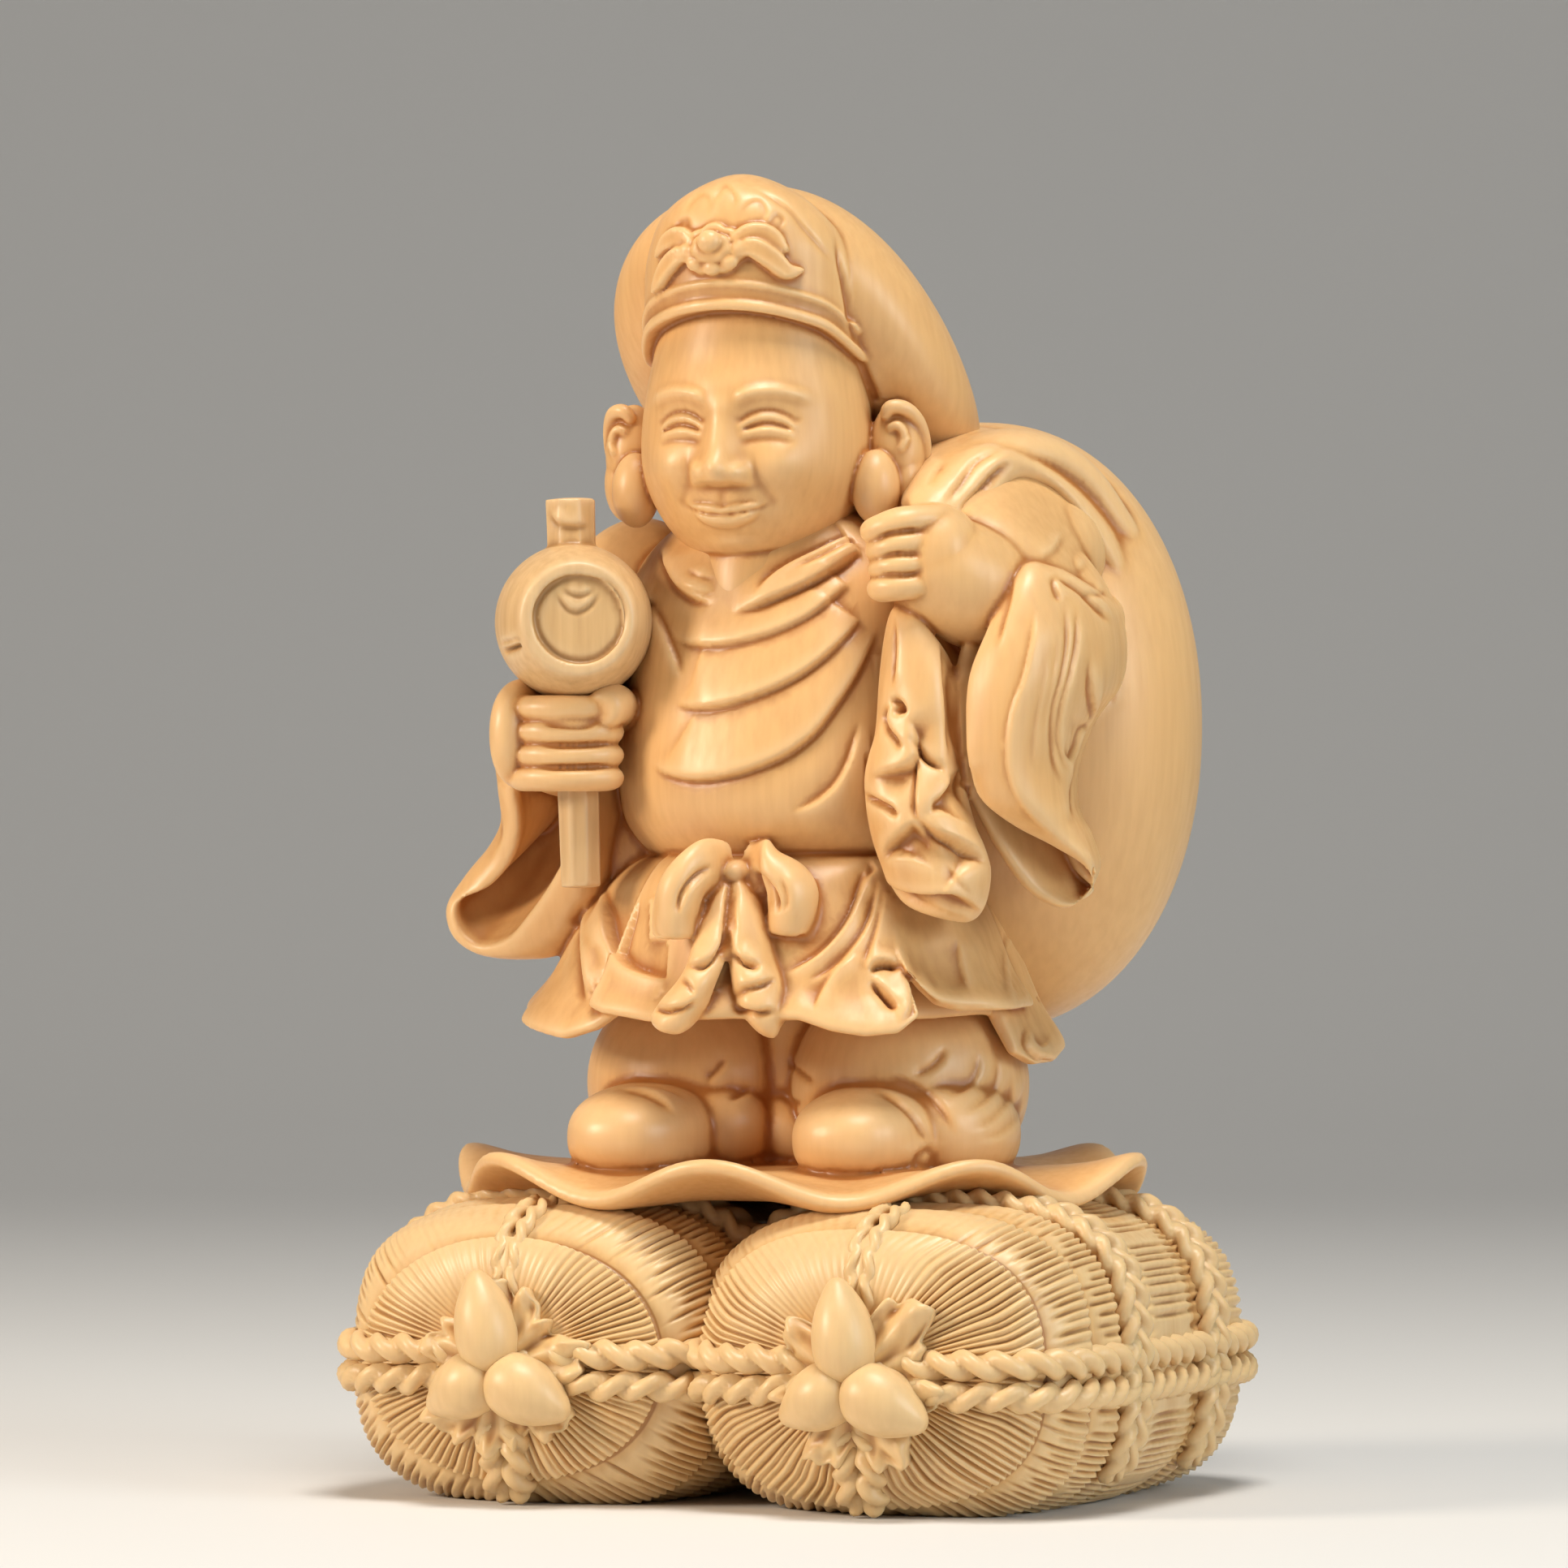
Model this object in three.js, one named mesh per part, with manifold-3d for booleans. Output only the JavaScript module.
// A carved boxwood good-luck figure: a stout man in a soft cap, with a sack over the left shoulder and a
// mallet in the right hand, standing on a wavy lotus leaf on top of two straw rice bales.
// Millimetres, +Z up, the figure faces -Y, and the origin is under the middle of the whole work.
import * as THREE from "three";
import { mergeVertices } from "three/addons/utils/BufferGeometryUtils.js";
import Module from "manifold-3d";

const wasm = await Module();
wasm.setup();

// Driving dimensions
const figureHeight = 119; // from the soles to the top of the cap
const baleLength = 71; // along the straw, without the knots on the ends
const baleWidth = 50.5;
const baleHeight = 35.8; // from the sawn underside to the crown
const baleSpacing = 45.2; // between the middles of the bales, which are carved into each other
const sawnOff = 1.6; // what the flat underside takes off each round bale
const baseOffset = [2, -4]; // the middle of the bales from the figure's upright, sideways and forward
const ropeDiameter = 3.1;
const ropeGap = 0.6; // between the two ropes of a pair
const ropeSink = 1.7; // how deep a rope is carved into the straw
const girdleSpacing = 25; // between the two girdles round each bale
const budWidth = 7.6; // the three buds of the knot on each bale end
const budLength = 10.4;
const knotReach = 10.5; // from the middle of a knot to its frayed rope ends
const leafWidth = 85;
const leafDepth = 70;
const leafRim = 1.9; // thickness at the wavy rim
const leafWave = 2.2; // height of a wave above and below the mean rim
const leafWaves = 8;
const leafSeat = 2.8; // from the crown of the bales up to the soles
const leafRoot = 9; // how far the solid under the leaf reaches down between the bales
const seatWidth = 52; // the solid under the leaf that sits on the bales
const seatDepth = 42;
const seatGap = 0.3; // clearance between the leaf's underside and the bales
const malletLength = 46.5; // the whole shaft
const malletPeg = 5.4; // how far the shaft stands above the head
const malletHeadLength = 20;
const malletHeadDiameter = 18.8;
const malletFaceDiameter = 13;
const malletPanelDiameter = 10.6; // the sunk panel in each end of the head
const malletPanelDepth = 0.6;
const malletTurn = 28; // degrees that the head points away from sideways
const shaftTop = 5.8; // across the shaft at the peg
const shaftBottom = 4.6; // across the shaft at its foot
const shaftLean = -1.8; // degrees, the top leans outwards
const gripGap = 0.3; // clearance between the shaft and the closed hand

// The pose and the carving are written as they are on a figure of this height, and scale with it
const carvedHeight = 119;
const k = figureHeight / carvedHeight;

const woodColour = 0xd9a871;
const malletColour = 0xcfae7c;
const strawColour = 0xd3b27e;

const { abs, cos, exp, max, min, PI, sign, sin, tan } = Math;
const TAU = 2 * PI;
const rad = (degrees) => (degrees * PI) / 180;
const V = (x, y, z) => new THREE.Vector3(x, y, z);
const at = (x, y, z) => V(x, y, z).multiplyScalar(k);
const path = (points) => points.map((p) => at(...p));
const power = (value, exponent) => sign(value) * abs(value) ** exponent;
const mix = (a, b, t) => a + (b - a) * t;
const bump = (x, width) => exp(-((x / width) ** 2));
const step = (x, from, to) => THREE.MathUtils.smoothstep(x, from, to);
const joined = (solids) => wasm.Manifold.union(solids);

// A closed geometry as a solid. Its faces are turned outwards if they point inwards.
function solid(geometry) {
  const bare = new THREE.BufferGeometry();
  bare.setAttribute("position", geometry.getAttribute("position"));
  bare.setIndex(geometry.index);
  const merged = mergeVertices(bare, 1e-4);
  const triVerts = new Uint32Array(merged.index.array);
  const vertProperties = merged.attributes.position.array;
  const made = new wasm.Manifold(new wasm.Mesh({ numProp: 3, vertProperties, triVerts }));
  if (made.volume() >= 0) return made;
  const turned = triVerts.map((_, i) => triVerts[i - (i % 3) + [0, 2, 1][i % 3]]);
  return new wasm.Manifold(new wasm.Mesh({ numProp: 3, vertProperties, triVerts: turned }));
}

// A closed skin: place(angle, t) gives each point, and all angles meet in one point at t = 0 and at t = 1.
function skin(around, along, place) {
  const geometry = new THREE.SphereGeometry(1, around, along);
  const spots = geometry.getAttribute("position");
  const uv = geometry.getAttribute("uv");
  for (let i = 0; i < spots.count; i++) {
    const row = Math.round((1 - uv.getY(i)) * along) / along;
    const point = place(TAU * ((uv.getX(i) + 1) % 1), row);
    spots.setXYZ(i, point.x, point.y, point.z);
  }
  return solid(geometry);
}

// A skin through rows, each a function from angle to point. The first and the last row are single points.
function stack(around, rows) {
  const last = rows.length - 1;
  return skin(around, last, (angle, t) => rows[Math.round(t * last)](angle));
}

const spot = (x, y, z) => () => at(x, y, z);

// A closed loop through points, as a row of a stack.
function loop(points) {
  const curve = new THREE.CatmullRomCurve3(points, true);
  return (angle) => curve.getPoint(angle / TAU);
}

// A superellipsoid: half sizes, a roundness of 1 for an egg and less for a block, turned about its centre.
function egg(centre, half, { round = 1, turn = [0, 0, 0], around = 10, along = 8 } = {}) {
  const turned = new THREE.Euler(...turn.map(rad));
  return skin(around, along, (angle, t) => {
    const ring = power(sin(PI * t), round);
    const x = ring * power(cos(angle), round);
    const y = ring * power(sin(angle), round);
    return V(x * half[0], y * half[1], power(cos(PI * t), round) * half[2])
      .applyEuler(turned)
      .add(V(...centre))
      .multiplyScalar(k);
  });
}

// A limb: a section swept along a smooth curve, with round ends. size(s) gives its half width along side
// and its half thickness, and lift(a, s) raises the skin at a, which runs from -1 to 1 across the width.
function limb(points, size, { side = V(0, 0, 1), around = 8, along = 8, blunt = 4, lift } = {}) {
  const curve = new THREE.CatmullRomCurve3(points);
  return skin(around, along, (angle, t) => {
    const s = 0.5 - 0.5 * cos(PI * t);
    const end = max(0, 1 - abs(2 * s - 1) ** blunt) ** (1 / blunt);
    const tangent = curve.getTangent(s);
    const across = V().crossVectors(side, tangent).normalize();
    const upright = V().crossVectors(tangent, across).normalize();
    const [wide, thick] = size(s);
    const a = cos(angle);
    const raised = end * k * (thick * sin(angle) + (lift ? lift(a, s) : 0));
    return curve.getPoint(s).addScaledVector(upright, end * k * wide * a).addScaledVector(across, raised);
  });
}

// Robe: the body from the neck to the sash round the waist. Its cloth hangs across the chest in tiers, each
// ending in a lip that is lowest a little to the right arm's side and rises towards both shoulders.
const BODY = [
  // height, half width, half depth, forward of the middle
  [79, 8.5, 7.5, 4],
  [76, 14, 10, 3.4],
  [71, 19.5, 13.5, 2.4],
  [63, 20.8, 16.8, 1.5],
  [54, 21.2, 19, 1.5],
  [46, 21, 19.8, 1.5],
  [41.5, 20.4, 19.2, 1.2],
  [37.5, 17.4, 16.2, 0.8],
  [35, 15.5, 14, 0],
];
const CHEST = [
  // height at the lowest point, and how far the cloth stands out
  [78, 0],
  [71.4, 0.6],
  [68.2, 1.7],
  [66.8, 0.3],
  [63.2, 1.6],
  [61.6, 0.2],
  [55.6, 1.8],
  [53.8, 0.2],
  [47.8, 1.8],
  [45.8, 0.2],
  [41, 0],
  [37.6, 0],
];
const chestTop = 78.5; // the lips gather below this height at the shoulders

function bodyAt(height) {
  const i = BODY.findIndex(([z], n) => n > 0 && z <= height);
  const [upper, lower] = [BODY[i - 1], BODY[i]];
  const t = (upper[0] - height) / (upper[0] - lower[0]);
  return upper.map((value, n) => mix(value, lower[n], t));
}

function robe() {
  const row = ([low, out]) => (angle) => {
    const degrees = (angle * 180) / PI - (angle > PI ? 360 : 0);
    const front = step(112 - abs(degrees - 4), 0, 30);
    const room = max(chestTop - low, 0.5);
    const rise = mix(2.5, 10.5, step(low, 40, 50)) * ((degrees + 12) / 60) ** 2;
    const height = low + front * room * (1 - exp(-rise / room));
    const [, wide, deep, ahead] = bodyAt(height);
    return at((wide + front * out) * sin(angle), -ahead - (deep + front * out) * cos(angle), height);
  };
  const band = (height) => (angle) => at(18.6 * sin(angle), -0.8 - 17.2 * cos(angle), height - cos(angle));
  return stack(18, [
    spot(0, -4, 79),
    ...CHEST.map(row),
    band(36.8),
    band(34),
    spot(0, 0, 36),
  ]);
}

// Skirt: flares from the sash to a wavy hem with a rounded lip, and is hollowed underneath.
function skirt() {
  const wave = (angle) => cos(9 * angle + 0.6) + 0.4 * cos(5 * angle + 1);
  const tail = (angle) => bump(angle - rad(112), rad(20));
  const row = (z, wide, deep, depth, drop) => (angle) => {
    const out = depth * wave(angle);
    const down = drop * tail(angle);
    return at(
      (wide + out + 0.25 * down) * sin(angle),
      -0.6 - (deep + out + 0.25 * down) * cos(angle),
      z + 0.4 * out - down,
    );
  };
  return stack(28, [
    spot(0, -1, 38),
    row(35, 19.4, 17.2, 0.2, 0),
    row(29, 25.2, 21, 0.7, 0.5),
    row(23, 28, 22.8, 1.2, 2),
    row(18.6, 31.6, 25.6, 1.9, 5),
    row(16.6, 31, 25.2, 1.9, 5),
    row(18, 26.4, 21.6, 1.2, 2),
    spot(0, -1, 20),
  ]);
}

// Bow of the sash: two drooping loops and two tails with folded ends.
function bow() {
  const tie = (points, wide, thick, lift) =>
    limb(
      path(points),
      (s) => [wide * (0.5 + 0.5 * sin(PI * min(s * 1.2, 1) ** 0.8)), thick],
      { side: V(1, 0, 0), around: 5, along: 6, lift },
    );
  const folds = (a, s) => 0.7 * sin(TAU * (2 * s + 0.35 * a)) * step(s, 0.3, 0.7);
  return joined([
    egg([1.5, -20.8, 35.4], [2.2, 2.2, 2.4], { around: 6, along: 5 }),
    tie([[1, -20.5, 36.2], [-4.4, -22.6, 36.4], [-8, -22.6, 32.4], [-7.4, -22, 27.4]], 2.7, 2.2),
    tie([[2, -20.5, 36.2], [7, -22.2, 36.4], [10.8, -21.8, 32.4], [8.8, -21.6, 27]], 2.7, 2.2),
    tie([[1, -21, 36], [0, -23, 28], [-2.4, -25, 22], [-6, -27, 15.8]], 3.9, 1.4, folds),
    tie([[2, -21, 36], [4.4, -23.2, 28], [6.6, -25, 21], [7.4, -26.4, 15]], 3.5, 1.4, folds),
  ]);
}

// Trouser legs: two full puffs with pleats.
function trousers() {
  const leg = (x) =>
    skin(8, 5, (angle, t) => {
      const ring = power(sin(PI * t), 0.8);
      const pleat = 1 + 0.03 * cos(5 * angle) * sin(PI * t);
      const out = ring * pleat;
      return at(x + 14.2 * out * cos(angle), 2 + 15 * out * sin(angle), 10 + 12 * cos(PI * t));
    });
  return joined([leg(-13.3), leg(13.6)]);
}

// Shoes: blunt, with rounded toes and a flat sole on the leaf.
function shoes() {
  const shoe = (x, y) => egg([x, y, 4], [8.8, 15, 6.4], { round: 0.82, around: 10, along: 6 });
  return joined([shoe(-14, -10.6), shoe(14.4, -8.6)]);
}

// A sleeve widens from the elbow to the rim of its opening, turns over it and is hollow inside.
function sleeve(rim, elbow, bulge, wall, reach) {
  const points = path(rim);
  const middle = points.reduce((sum, p) => sum.add(p), V(0, 0, 0)).divideScalar(points.length);
  const back = at(...elbow);
  const row = (share, size, inset = 0) => {
    const centre = middle.clone().lerp(back, share);
    return loop(
      points.map((p) => {
        const out = p.clone().sub(middle);
        return out.setLength(max(out.length() * size - inset * k, 0.4 * k)).add(centre);
      }),
    );
  };
  return stack(14, [
    () => back,
    row(0.85, bulge * 0.6),
    row(0.55, bulge),
    row(0.22, mix(bulge, 1, 0.6)),
    row(0, 1),
    row(0, 1, wall),
    row(reach * 0.5, 0.85, wall * 1.1),
    row(reach, 0.5, wall),
    () => middle.clone().lerp(back, reach),
  ]);
}

// Right arm: a sleeve that hangs open like a pouch, and the hand closed on the shaft of the mallet.
const RIGHT_RIM = [
  [-27.2, -13, 57.5],
  [-32.6, -11.5, 53.5],
  [-36.2, -10, 44],
  [-38.6, -10, 36],
  [-43.2, -10, 31],
  [-40.6, -10.5, 26.2],
  [-33.6, -11.5, 24.8],
  [-25.6, -12.5, 28.4],
  [-23.8, -13.5, 36],
  [-24.4, -14, 47],
];
const shaftFoot = [-20.4, -18.2, 33.6]; // the foot of the mallet's shaft
const gripHeight = 51; // the middle of the hand on the shaft

function rightArm() {
  const gripX = shaftFoot[0] + (gripHeight - shaftFoot[2]) * tan(rad(shaftLean));
  const near = (x, y, up) => [gripX + x, shaftFoot[1] + y, gripHeight + up];
  const wrap = shaftTop / 2 / k + 1.4;
  const finger = (up) =>
    limb(
      path([near(-6.6, 2, up), near(-4.4, 0.4 - wrap, up), near(0, -0.6 - wrap, up), near(wrap, -1.4, up)]),
      () => [1.6, 2],
      { around: 5, along: 4, blunt: 3 },
    );
  const fingers = [4.4, 1.5, -1.4, -4.3].map(finger);
  const thumb = path([near(-3, 5.4, 2), near(3.4, 4, 4), near(4.4, -1.4, 5.4), near(3.4, -4.2, 5)]);
  const forearm = path([[-31, 0, 49], [-29.5, -8, mix(49, gripHeight, 0.7)], near(-5.6, 4, 0)]);
  return joined([
    ...fingers,
    egg(near(-4, 3.2, 0.4), [5, 5, 6.4], { around: 8, along: 6 }),
    limb(thumb, () => [2, 1.9], { around: 5, along: 5 }),
    limb(forearm, (s) => [mix(6.4, 4.8, s), mix(6.4, 4.6, s)], { along: 4 }),
    egg([-24.6, 1, 63], [9.6, 9.6, 16], { turn: [0, 24, 0], round: 0.9, around: 8, along: 6 }),
    sleeve(RIGHT_RIM, [-27, 9, 49], 0.86, 1.7, 0.55),
  ]);
}

// Left arm: raised elbow, a sleeve hanging from the wrist, and the fist on the neck of the sack.
const LEFT_RIM = [
  [34, -10, 72.8],
  [34, -13, 64],
  [33.6, -14, 53],
  [34.8, -14, 46.5],
  [37.4, -12, 40.6],
  [40.8, -10, 36.5],
  [42.6, -8, 33.8],
  [41, -8.6, 31.2],
  [37.4, -11, 30.4],
  [33.6, -14.6, 32],
  [31.4, -16.4, 39],
  [29.7, -16.6, 47],
  [29.2, -16.6, 55],
  [30.4, -15.6, 63],
  [32, -12.6, 69],
];
const fistAt = [22.6, -17.2];

function leftArm() {
  const near = (x, y, z) => [fistAt[0] + x, fistAt[1] + y, z];
  const finger = (z) =>
    limb(
      path([near(4, -2.2, z), near(-0.6, -4.6, z + 0.2), near(-4.4, -3.2, z), near(-4.4, 1, z - 0.4)]),
      () => [1.55, 2.1],
      { around: 5, along: 4, blunt: 3 },
    );
  const fingers = [77.4, 74.9, 72.5, 70.1].map(finger);
  const forearm = path([[24.6, -15.4, 72], [30, -12, 69], [35, -5, 64]]);
  return joined([
    ...fingers,
    egg(near(2.6, 1, 71.8), [6.6, 5.8, 7.4], { around: 8, along: 6 }),
    limb(forearm, (s) => [mix(6, 7.6, s), mix(5.6, 7, s)], { along: 4 }),
    egg([28.4, 0.4, 68.6], [16, 8.6, 10.6], { turn: [0, 42, 0], round: 0.9, around: 8, along: 6 }),
    sleeve(LEFT_RIM, [37, 8, 57], 0.9, 1.4, 0.4),
  ]);
}

// Sack: a huge soft bag on the back, its neck drawn over the left shoulder to the fist, and its
// gathered mouth hanging down in front in zigzag folds.
function sack() {
  const bag = skin(14, 8, (angle, t) => {
    const ring = sin(PI * t) ** 0.9;
    return at(
      15.2 + 28 * ring * cos(angle),
      19.6 + 20.5 * ring * sin(angle),
      53 + 37 * power(cos(PI * t), 0.95),
    );
  });
  const neck = path([[21.6, -17, 74], [22, -15, 80], [22.5, -6, 84], [21, 6, 80], [17, 18, 70]]);
  const mouth = path([[20.6, -19, 69], [20.8, -21, 58], [22.6, -21, 44], [26.4, -19.4, 30.5]]);
  const zigzag = (a, s) => {
    const phase = (((3.1 * s + 0.55 * a + 0.5) % 1) + 1) % 1;
    return step(s, 0.22, 0.5) * 3.4 * abs(phase - 0.5) * (a + 0.4);
  };
  return joined([
    bag,
    limb(neck, (s) => [mix(4, 13, s ** 1.2), mix(3.4, 9.6, s ** 0.9)], {
      side: V(1, 0, 0),
      around: 8,
      along: 6,
      lift: (a, s) => 0.5 * cos(7 * a) * (1 - s),
    }),
    limb(mouth, (s) => [mix(3.2, 8.2, s), mix(1.8, 2.6, s)], {
      side: V(0.92, 0.38, 0),
      around: 8,
      along: 10,
      blunt: 6,
      lift: zigzag,
    }),
  ]);
}

// Head: a full round face with long ear lobes, turned a little to the sack's side.
const HEAD = [-1.5, -9, 88];
const HEAD_HALF = [13.6, 13.4, 16];
const headTurn = 5; // degrees
const headAxis = V(0, 0, 1);

function onHead(x, y, z) {
  const [cx, cy] = HEAD;
  return V(x - cx, y - cy, z).applyAxisAngle(headAxis, rad(headTurn)).add(V(cx, cy, 0)).multiplyScalar(k);
}

// How far each place on the front of the face stands out, from sideways and upward shares of the head
function faceRelief(x, z) {
  const nose = 2.6 * bump(x, 0.16) * bump(z + 0.2, 0.17) + 1.2 * bump(x, 0.12) * bump(z - 0.04, 0.18);
  const brow = 0.7 * bump(abs(x) - 0.36, 0.24) * bump(z - 0.24, 0.09);
  const socket = -0.8 * bump(abs(x) - 0.37, 0.2) * bump(z - 0.06, 0.1);
  const cheek = 1 * bump(abs(x) - 0.5, 0.25) * bump(z + 0.24, 0.2);
  const lips = 0.9 * bump(x, 0.26) * bump(z + 0.5, 0.08);
  const chin = 0.9 * bump(x, 0.25) * bump(z + 0.8, 0.13);
  return nose + brow + socket + cheek + lips + chin;
}

function head() {
  const [cx, cy, cz] = HEAD;
  const skull = skin(16, 12, (angle, t) => {
    const ring = power(sin(PI * t), 0.92);
    const up = cos(PI * t);
    const across = ring * sin(angle) * (1 + 0.05 * bump(up + 0.35, 0.4));
    const forward = ring * cos(angle);
    const out = forward > 0 ? forward ** 0.5 * faceRelief(across, up) : 0;
    return onHead(cx + HEAD_HALF[0] * across, cy - HEAD_HALF[1] * forward - out, cz + HEAD_HALF[2] * up);
  });
  const ear = (side) => {
    const x = cx + side * HEAD_HALF[0];
    const rim = [[0, 0.6, 6], [1.4, 1, 9.4], [2.6, 4, 9.6], [2.6, 6, 4], [1.4, 4.2, -1]];
    const points = rim.map(([out, back, up]) => onHead(x + side * out, cy + back, cz + up));
    const lobe = onHead(x + side * 0.8, cy + 2.4, cz - 5.6).divideScalar(k);
    return joined([
      limb(points, () => [1.1, 1.7], { side: V(1, 0, 0), around: 4, along: 5 }),
      egg([lobe.x, lobe.y, lobe.z], [3.3, 3.7, 5], { around: 7, along: 5 }),
    ]);
  };
  const neck = path([[-1.4, -6, 78], [-1, -9.5, 71], [-0.4, -13, 64]]);
  return joined([
    skull,
    ear(-1),
    ear(1),
    limb(neck, (s) => [mix(8.6, 4.4, s), mix(8, 4, s)], { side: V(1, 0, 0), around: 6, along: 3 }),
  ]);
}

// Cap: a fitted front with a double rolled brim and a badge, and a wide soft crown that flops back.
const brimRadius = [14.5, 14.3];
const brimTilt = 11; // degrees, higher over the forehead than at the back

function brimAt(angle, out, up) {
  const [cx, cy] = HEAD;
  const x = (brimRadius[0] + out) * sin(angle);
  const y = 0.4 - (brimRadius[1] + out) * cos(angle);
  return onHead(cx + x, cy + y, 100.2 + up - y * tan(rad(brimTilt)) + 0.8 * cos(2 * angle));
}

function cap() {
  const [cx, cy, cz] = HEAD;
  const row = (share, up) => (angle) => brimAt(angle, -brimRadius[1] * (1 - share), up);
  const front = stack(16, [
    () => onHead(cx, cy, cz + 12),
    row(0.98, -0.6),
    row(1.1, 0.4),
    row(1.02, 1.9),
    row(1.06, 2.9),
    row(1, 3.7),
    row(0.97, 8),
    row(0.85, 12.6),
    row(0.5, 16),
    () => onHead(cx, cy - 1, cz + 29.6),
  ]);
  const floppy = { round: 0.95, turn: [45, 0, 0], around: 14, along: 8 };
  const crown = egg([-2.1, 4, 98.3], [22.4, 11.5, 24.3], floppy);
  return joined([front, crown, capFlower()]);
}

// The badge on the cap: a round jewel on a scalloped rosette, with a pair of long leaves either side.
function capFlower() {
  const place = (x, z, out) => brimAt(x / brimRadius[0], out - 0.04 * max(0, z + 1) ** 2, 7.6 + z);
  const rosette = (size, out) => (angle) => {
    const scallop = 1 + 0.14 * abs(cos(2.5 * angle)) * size;
    return place(3.6 * size * scallop * sin(angle), 0.6 + 2.9 * size * scallop * cos(angle), out);
  };
  const leaf = (side, rise) =>
    limb(
      [2.4, 5.4, 8.2, 10.6].map((out, i) => place(side * out, rise * [0, 1, 0.4, 1][i], 0.3)),
      (s) => [1.6 * sin(PI * (0.15 + 0.8 * s)), 0.9],
      { around: 4, along: 4 },
    );
  const { x, y, z } = place(0, 0.8, 1).divideScalar(k);
  return joined([
    stack(10, [() => place(0, 0.6, -2), rosette(0.9, -1), rosette(1, 0.6), () => place(0, 0.6, 1)]),
    egg([x, y, z], [1.6, 1.3, 1.5], { around: 6, along: 4 }),
    leaf(-1, 1.7),
    leaf(1, 1.7),
    leaf(-1, -1.5),
    leaf(1, -1.5),
  ]);
}

// Bales: each lies along the Y axis, square-shouldered and sawn flat underneath. baleAt gives a point of
// its skin from its place along the bale, -1 to 1, and the angle from the crown; grow widens it all round.
const roundHeight = baleHeight + sawnOff;
const waistDrop = 0.8; // from a bale's middle height down to the ropes over its ends
const soleHeight = baleHeight + leafSeat;
const endShape = 5; // a higher number gives squarer shoulders
const ringShape = 3;

function baleAt(side, along, angle, grow) {
  const ring = max(0, 1 - abs(along) ** endShape) ** (1 / endShape);
  const wide = baleWidth / 2 + grow;
  return V(
    baseOffset[0] + (side * baleSpacing) / 2 + wide * ring * power(sin(angle), 2 / ringShape),
    baseOffset[1] - (baleLength / 2 + grow) * along,
    roundHeight / 2 - sawnOff + (roundHeight / 2 + grow) * ring * power(cos(angle), 2 / ringShape),
  );
}

// A roped bale: a pair of ropes runs round it over both ends, and two pairs go round it as girdles. The
// skin has a line of corners along each rope's edges and along its crest. spare widens it for a clearance.
const pitch = ropeDiameter + ropeGap;
const ropeRise = ropeDiameter - ropeSink;
const ropeLines = [-pitch, -pitch / 2, 0, pitch / 2, pitch];
const onRope = (line) => (line % 2 ? ropeRise : 0);

function ropedBale(side, spare) {
  const girdles = [-1, 1].map((end) => (end * girdleSpacing) / baleLength);
  const bare = [1, 0.98, 0.88, -0.88, -0.98, -1];
  const rows = bare.map((along) => ({ along, line: 0 }));
  for (const middle of girdles) {
    ropeLines.forEach((off, line) => rows.push({ along: middle + (2 * off) / baleLength, line }));
  }
  rows.sort((a, b) => b.along - a.along);
  const columns = [-54, -20, 20, 54];
  const flank = [1, -1].flatMap((way) => [
    ...ropeLines.map((off, line) => ({ side: way, off: -way * off, line })),
    ...columns.map((degrees) => ({ degrees: degrees + (way > 0 ? 180 : 0), line: 0 })),
  ]);
  return skin(flank.length, rows.length - 1, (angle, t) => {
    const { along, line } = rows[Math.round(t * (rows.length - 1))];
    const column = flank[Math.round((angle / TAU) * flank.length) % flank.length];
    const grow = spare + max(onRope(line), abs(along) < 1 ? onRope(column.line) : 0);
    if (column.degrees !== undefined) return baleAt(side, along, rad(column.degrees), grow);
    const ring = max(0, 1 - abs(along) ** endShape) ** (1 / endShape);
    const height = (column.off - waistDrop) * min(1, ring * 2);
    const level = (2 * height) / roundHeight;
    const reach = max(0, ring ** ringShape - abs(level) ** ringShape) ** (1 / ringShape);
    const p = baleAt(side, along, column.side * rad(90), grow);
    p.x += column.side * (baleWidth / 2) * (reach - ring);
    return p.setZ(p.z + height);
  });
}

// The leaf: a shallow disc with a wavy rim, and under it the solid seat that meets the bales.
function leaf() {
  const wave = (angle) => cos(leafWaves * (angle - rad(5)));
  const row = (size, up, sway) => (angle) => {
    const out = size * (1 + 0.02 * sway * wave(angle));
    return V(
      (leafWidth / 2) * out * sin(angle),
      (-leafDepth / 2) * out * cos(angle),
      soleHeight + up + sway * leafWave * wave(angle),
    );
  };
  const root = (angle) =>
    V((seatWidth / 2) * sin(angle), (-seatDepth / 2) * cos(angle), soleHeight - leafRoot);
  return stack(4 * leafWaves, [
    () => V(0, 0, soleHeight + 0.6),
    row(0.6, 0.4, 0),
    row(0.85, 0, 0.5),
    row(0.99, 0.2, 1),
    row(1, -leafRim * 0.6, 1),
    row(0.96, -leafRim, 0.95),
    row(0.78, -leafRim - 1.8, 0.4),
    root,
    () => V(0, 0, soleHeight - leafRoot),
  ]);
}

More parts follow.
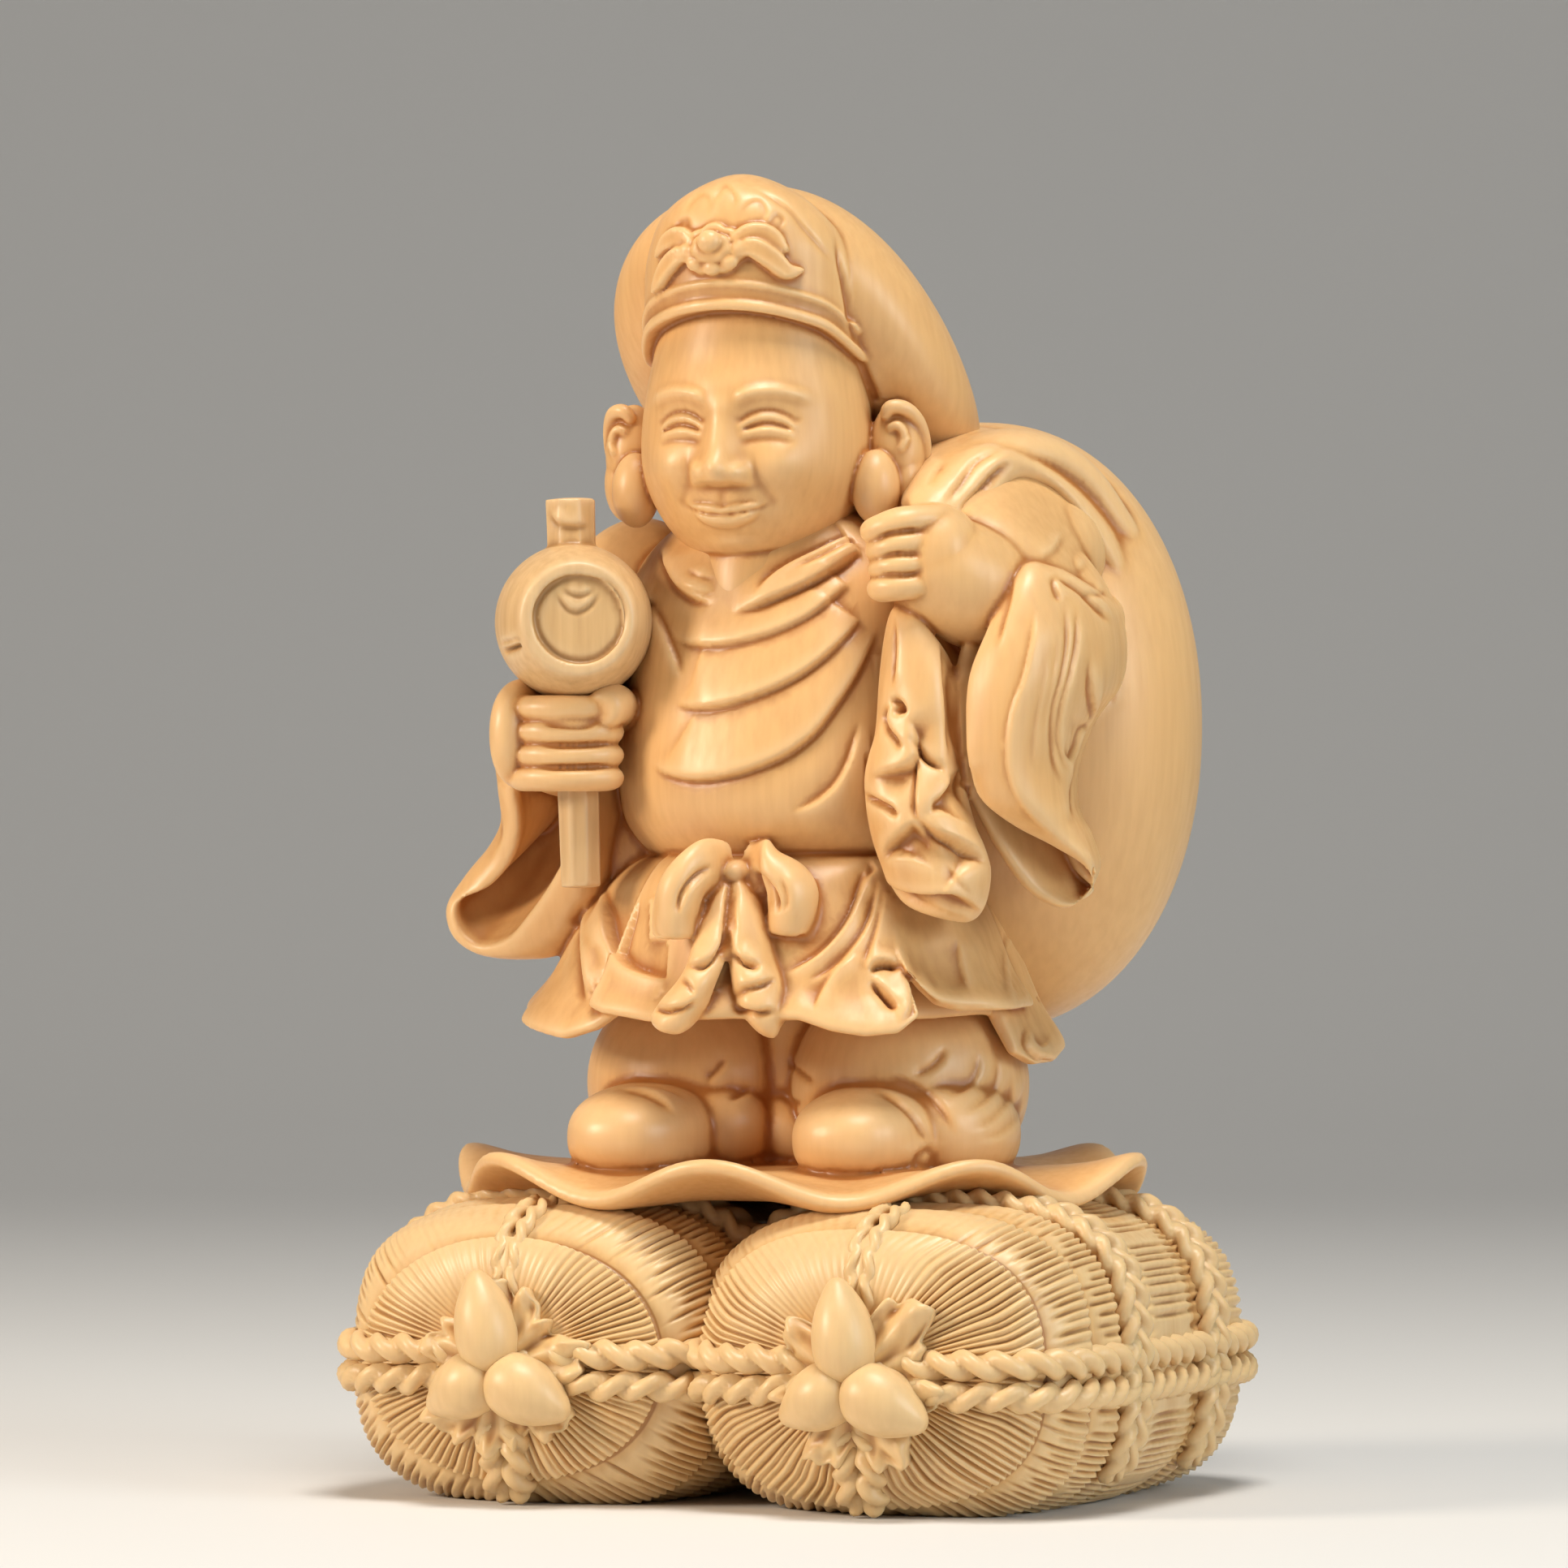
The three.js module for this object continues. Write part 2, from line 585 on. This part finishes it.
// The knot on a bale's end: three pointed buds in a ring of frayed rope ends. The back knots are plainer.
function knot(side, end) {
  const front = end > 0;
  const centre = baleAt(side, end, 0, 0).setZ(roundHeight / 2 - sawnOff - 2 * waistDrop).divideScalar(k);
  const near = (out, angle, ahead) => [
    centre.x + out * cos(angle),
    centre.y - end * ahead,
    centre.z + out * sin(angle),
  ];
  const buds = [90, 205, 335].map((degrees) =>
    egg(near(budLength / 2 - 0.6, rad(degrees), 1.6), [budLength / 2, budWidth / 2, budWidth / 2], {
      turn: [0, -degrees, 0],
      around: front ? 6 : 5,
      along: front ? 5 : 4,
    }),
  );
  const ends = Array.from({ length: front ? 6 : 0 }, (_, i) => {
    const angle = (TAU * (i + 0.55)) / 6;
    return limb(
      path([near(3, angle, 0.4), near(7, angle, 1), near(knotReach - (i % 2), angle + 0.15, -0.6)]),
      (s) => [mix(3.2, 1.6, s), mix(2.4, 1.2, s)],
      { side: V(0, 1, 0.01), around: 4, along: 3 },
    );
  });
  return joined([...buds, ...ends]);
}

// The pieces of a carving joined into one, with any closed pocket filled.
function carved(solids) {
  return joined(joined(solids).decompose().filter((piece) => piece.volume() > 1));
}

function riceBales() {
  const pieces = [-1, 1].flatMap((side) => [ropedBale(side, 0), knot(side, -1), knot(side, 1)]);
  const below = new THREE.BoxGeometry(4 * baleWidth, 3 * baleLength, 2 * baleHeight);
  below.translate(0, 0, -baleHeight);
  return carved([joined(pieces).subtract(solid(below))]);
}

// Mallet: a barrel-shaped head on a tapered, eight-sided shaft. grow widens it all round for a clearance.
function mallet(grow) {
  const across = 1 / cos(PI / 8);
  const shaft = new THREE.CylinderGeometry(
    (shaftTop / 2 + grow) * across,
    (shaftBottom / 2 + grow) * across,
    malletLength + 2 * grow,
    8,
  );
  shaft.rotateY(PI / 8);
  shaft.rotateX(PI / 2);
  shaft.translate(0, 0, malletLength / 2);
  const half = malletHeadLength / 2 + grow;
  const face = malletFaceDiameter / 2 + grow;
  const bulge = (malletHeadDiameter - malletFaceDiameter) / 2;
  const panel = malletPanelDiameter / 2;
  const sunk = grow ? 0 : malletPanelDepth;
  const rows = 5;
  const barrel = Array.from({ length: rows + 1 }, (_, i) => {
    const share = i / rows;
    return new THREE.Vector2(face + bulge * max(0, sin(PI * share)) ** 0.7, mix(-half, half, share));
  });
  const recess = (end) => [
    new THREE.Vector2(panel, end * half),
    new THREE.Vector2(panel, end * (half - sunk)),
    new THREE.Vector2(0, end * (half - sunk)),
  ];
  const profile = sunk
    ? [...recess(-1).reverse(), ...barrel, ...recess(1)]
    : [new THREE.Vector2(0, -half), ...barrel, new THREE.Vector2(0, half)];
  const head = new THREE.LatheGeometry(profile, 16);
  head.rotateZ(rad(malletTurn));
  head.translate(0, 0, malletLength - malletPeg - malletHeadDiameter / 2);
  const foot = at(...shaftFoot);
  const placed = new THREE.Matrix4().makeTranslation(foot.x, foot.y, foot.z + soleHeight);
  placed.multiply(new THREE.Matrix4().makeRotationY(rad(shaftLean)));
  return joined([shaft, head].map((geometry) => solid(geometry.applyMatrix4(placed))));
}

function standingFigure() {
  const body = [robe(), skirt(), bow(), trousers(), shoes(), sack(), rightArm(), leftArm()];
  const carving = joined([...body, head(), cap()]).translate([0, 0, soleHeight]);
  const clearance = joined([ropedBale(-1, seatGap), ropedBale(1, seatGap), mallet(gripGap)]);
  return carved([joined([carving, leaf()]).subtract(clearance)]);
}

// A solid as a named mesh.
function meshOf(name, made, color, roughness) {
  const { vertProperties, triVerts } = made.getMesh();
  const geometry = new THREE.BufferGeometry();
  geometry.setAttribute("position", new THREE.BufferAttribute(new Float32Array(vertProperties), 3));
  geometry.setIndex(new THREE.BufferAttribute(new Uint32Array(triVerts), 1));
  geometry.computeVertexNormals();
  const mesh = new THREE.Mesh(geometry, new THREE.MeshStandardMaterial({ color, roughness, metalness: 0 }));
  mesh.name = name;
  return mesh;
}

const work = new THREE.Group();
work.add(
  meshOf("figure", standingFigure(), woodColour, 0.45),
  meshOf("mallet", mallet(0), malletColour, 0.5),
  meshOf("rice_bales", riceBales(), strawColour, 0.55),
);
const bounds = new THREE.Box3().setFromObject(work, true);
const middle = bounds.getCenter(V());
work.position.set(-middle.x, -middle.y, -bounds.min.z);

export default work;
